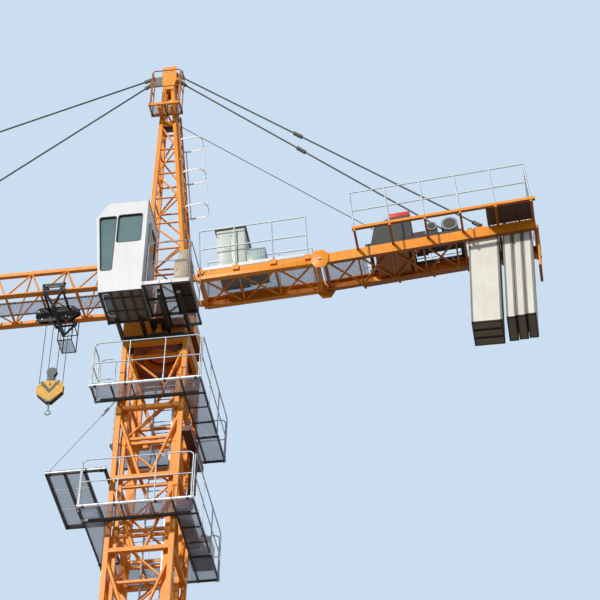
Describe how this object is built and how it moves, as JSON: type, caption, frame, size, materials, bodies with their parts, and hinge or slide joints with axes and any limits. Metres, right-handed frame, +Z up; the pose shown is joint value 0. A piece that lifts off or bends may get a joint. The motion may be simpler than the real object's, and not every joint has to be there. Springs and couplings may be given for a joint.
{
  "type": "tower crane",
  "caption": "Hammerhead tower crane with lattice mast, climbing frame, cab, tower head, jib with trolley and hook, and counter-jib with concrete counterweights.",
  "frame": {"origin": "centre of the base frame on the ground face, on the slewing axis", "axes": "+Z up along the slewing axis, +X along the jib, +Y to the cab side"},
  "size_m": [31.9953, 3.47, 23.56],
  "materials": {
    "orange_paint": "gloss, chalky in places, dirt in the joints",
    "galvanised_steel": "dull zinc with mottled spangle",
    "white_paint": "semi-gloss, light dirt streaks",
    "tinted_glass": "clear, green-blue tint",
    "seat_vinyl": "matt black vinyl",
    "grey_door_paint": "semi-gloss grey",
    "beige_box_paint": "semi-gloss beige",
    "green_grey_box_paint": "semi-gloss grey-green",
    "winch_paint": "oily dark green-grey",
    "concrete": "cast concrete with air holes",
    "dark_tie_steel": "dark painted bar with rust at the pins",
    "rope_steel": "greased wire rope",
    "ring_steel": "greased teeth",
    "dark_trolley_paint": "dark grey paint with grease",
    "wheel_steel": "worn treads",
    "yellow_paint": "gloss with black chevrons, scuffed",
    "sheave_paint": "grey-green, polished groove",
    "hook_steel": "forged, worn inside",
    "jack_steel": "dark red paint with a bright rod"
  },
  "bodies": {
    "mast": {"base_frame": "orange_paint", "base_braces": "orange_paint", "mast_lower": "orange_paint", "mast_middle": "orange_paint", "mast_upper": "orange_paint", "mast_ladder": "galvanised_steel", "climbing_frame": "orange_paint", "upper_platform": "galvanised_steel", "upper_platform_rails": "galvanised_steel", "lower_platform": "galvanised_steel", "lower_platform_rails": "galvanised_steel", "section_platform": "galvanised_steel", "section_platform_tie": "galvanised_steel", "climbing_jack": "jack_steel", "power_pack": "white_paint", "bearing_seat": "orange_paint", "slewing_ring": "ring_steel"},
    "upper_works": {"turntable": "orange_paint", "slewing_drive": "orange_paint", "cab_walkway": "white_paint", "cab_shell": "white_paint", "cab_glass": "tinted_glass", "cab_seat": "seat_vinyl", "electric_box": "beige_box_paint", "tower_head": "orange_paint", "tower_ladder": "white_paint", "head_platform": "orange_paint", "head_sheave": "sheave_paint", "jib_inner": "orange_paint", "jib_middle": "orange_paint", "jib_outer": "orange_paint", "jib_walkway": "galvanised_steel", "jib_ties": "dark_tie_steel", "counter_jib_front": "orange_paint", "counter_jib_rear": "orange_paint", "counter_jib_deck": "white_paint", "counter_jib_rails": "galvanised_steel", "counter_jib_ties": "dark_tie_steel", "control_cabinets": "green_grey_box_paint", "hoist_winch": "winch_paint", "counterweights": "concrete", "counterweight_bars": "dark_tie_steel", "hoist_rope": "rope_steel"},
    "trolley": {"trolley_frame": "dark_trolley_paint", "trolley_wheels": "wheel_steel", "trolley_basket": "dark_trolley_paint", "rope_falls": "rope_steel"},
    "hook_block": {"hook_block": "yellow_paint", "block_sheaves": "sheave_paint"},
    "hook": {"hook": "hook_steel"},
    "cab_door": {"cab_door": "grey_door_paint"}
  },
  "joints": [
    {"name": "slewing", "type": "hinge", "parent": "mast", "child": "upper_works", "pos_m": [0, 0, 14.8], "axis": [0, 0, 1], "continuous": true},
    {"name": "trolley_travel", "type": "slide", "parent": "upper_works", "child": "trolley", "axis": [1, 0, 0], "range_m": [-0.1, 20.35]},
    {"name": "hook_hoist", "type": "slide", "parent": "trolley", "child": "hook_block", "axis": [0, 0, -1], "range_m": [-0.3, 12.8], "deforming": ["rope_falls"]},
    {"name": "hook_swivel", "type": "hinge", "parent": "hook_block", "child": "hook", "pos_m": [2.35, 0, 13.6], "axis": [0, 0, 1], "continuous": true},
    {"name": "cab_door_hinge", "type": "hinge", "parent": "upper_works", "child": "cab_door", "pos_m": [0.033, 1.076, 16], "axis": [0, 0, 1], "range_deg": [0, 90]}
  ]
}
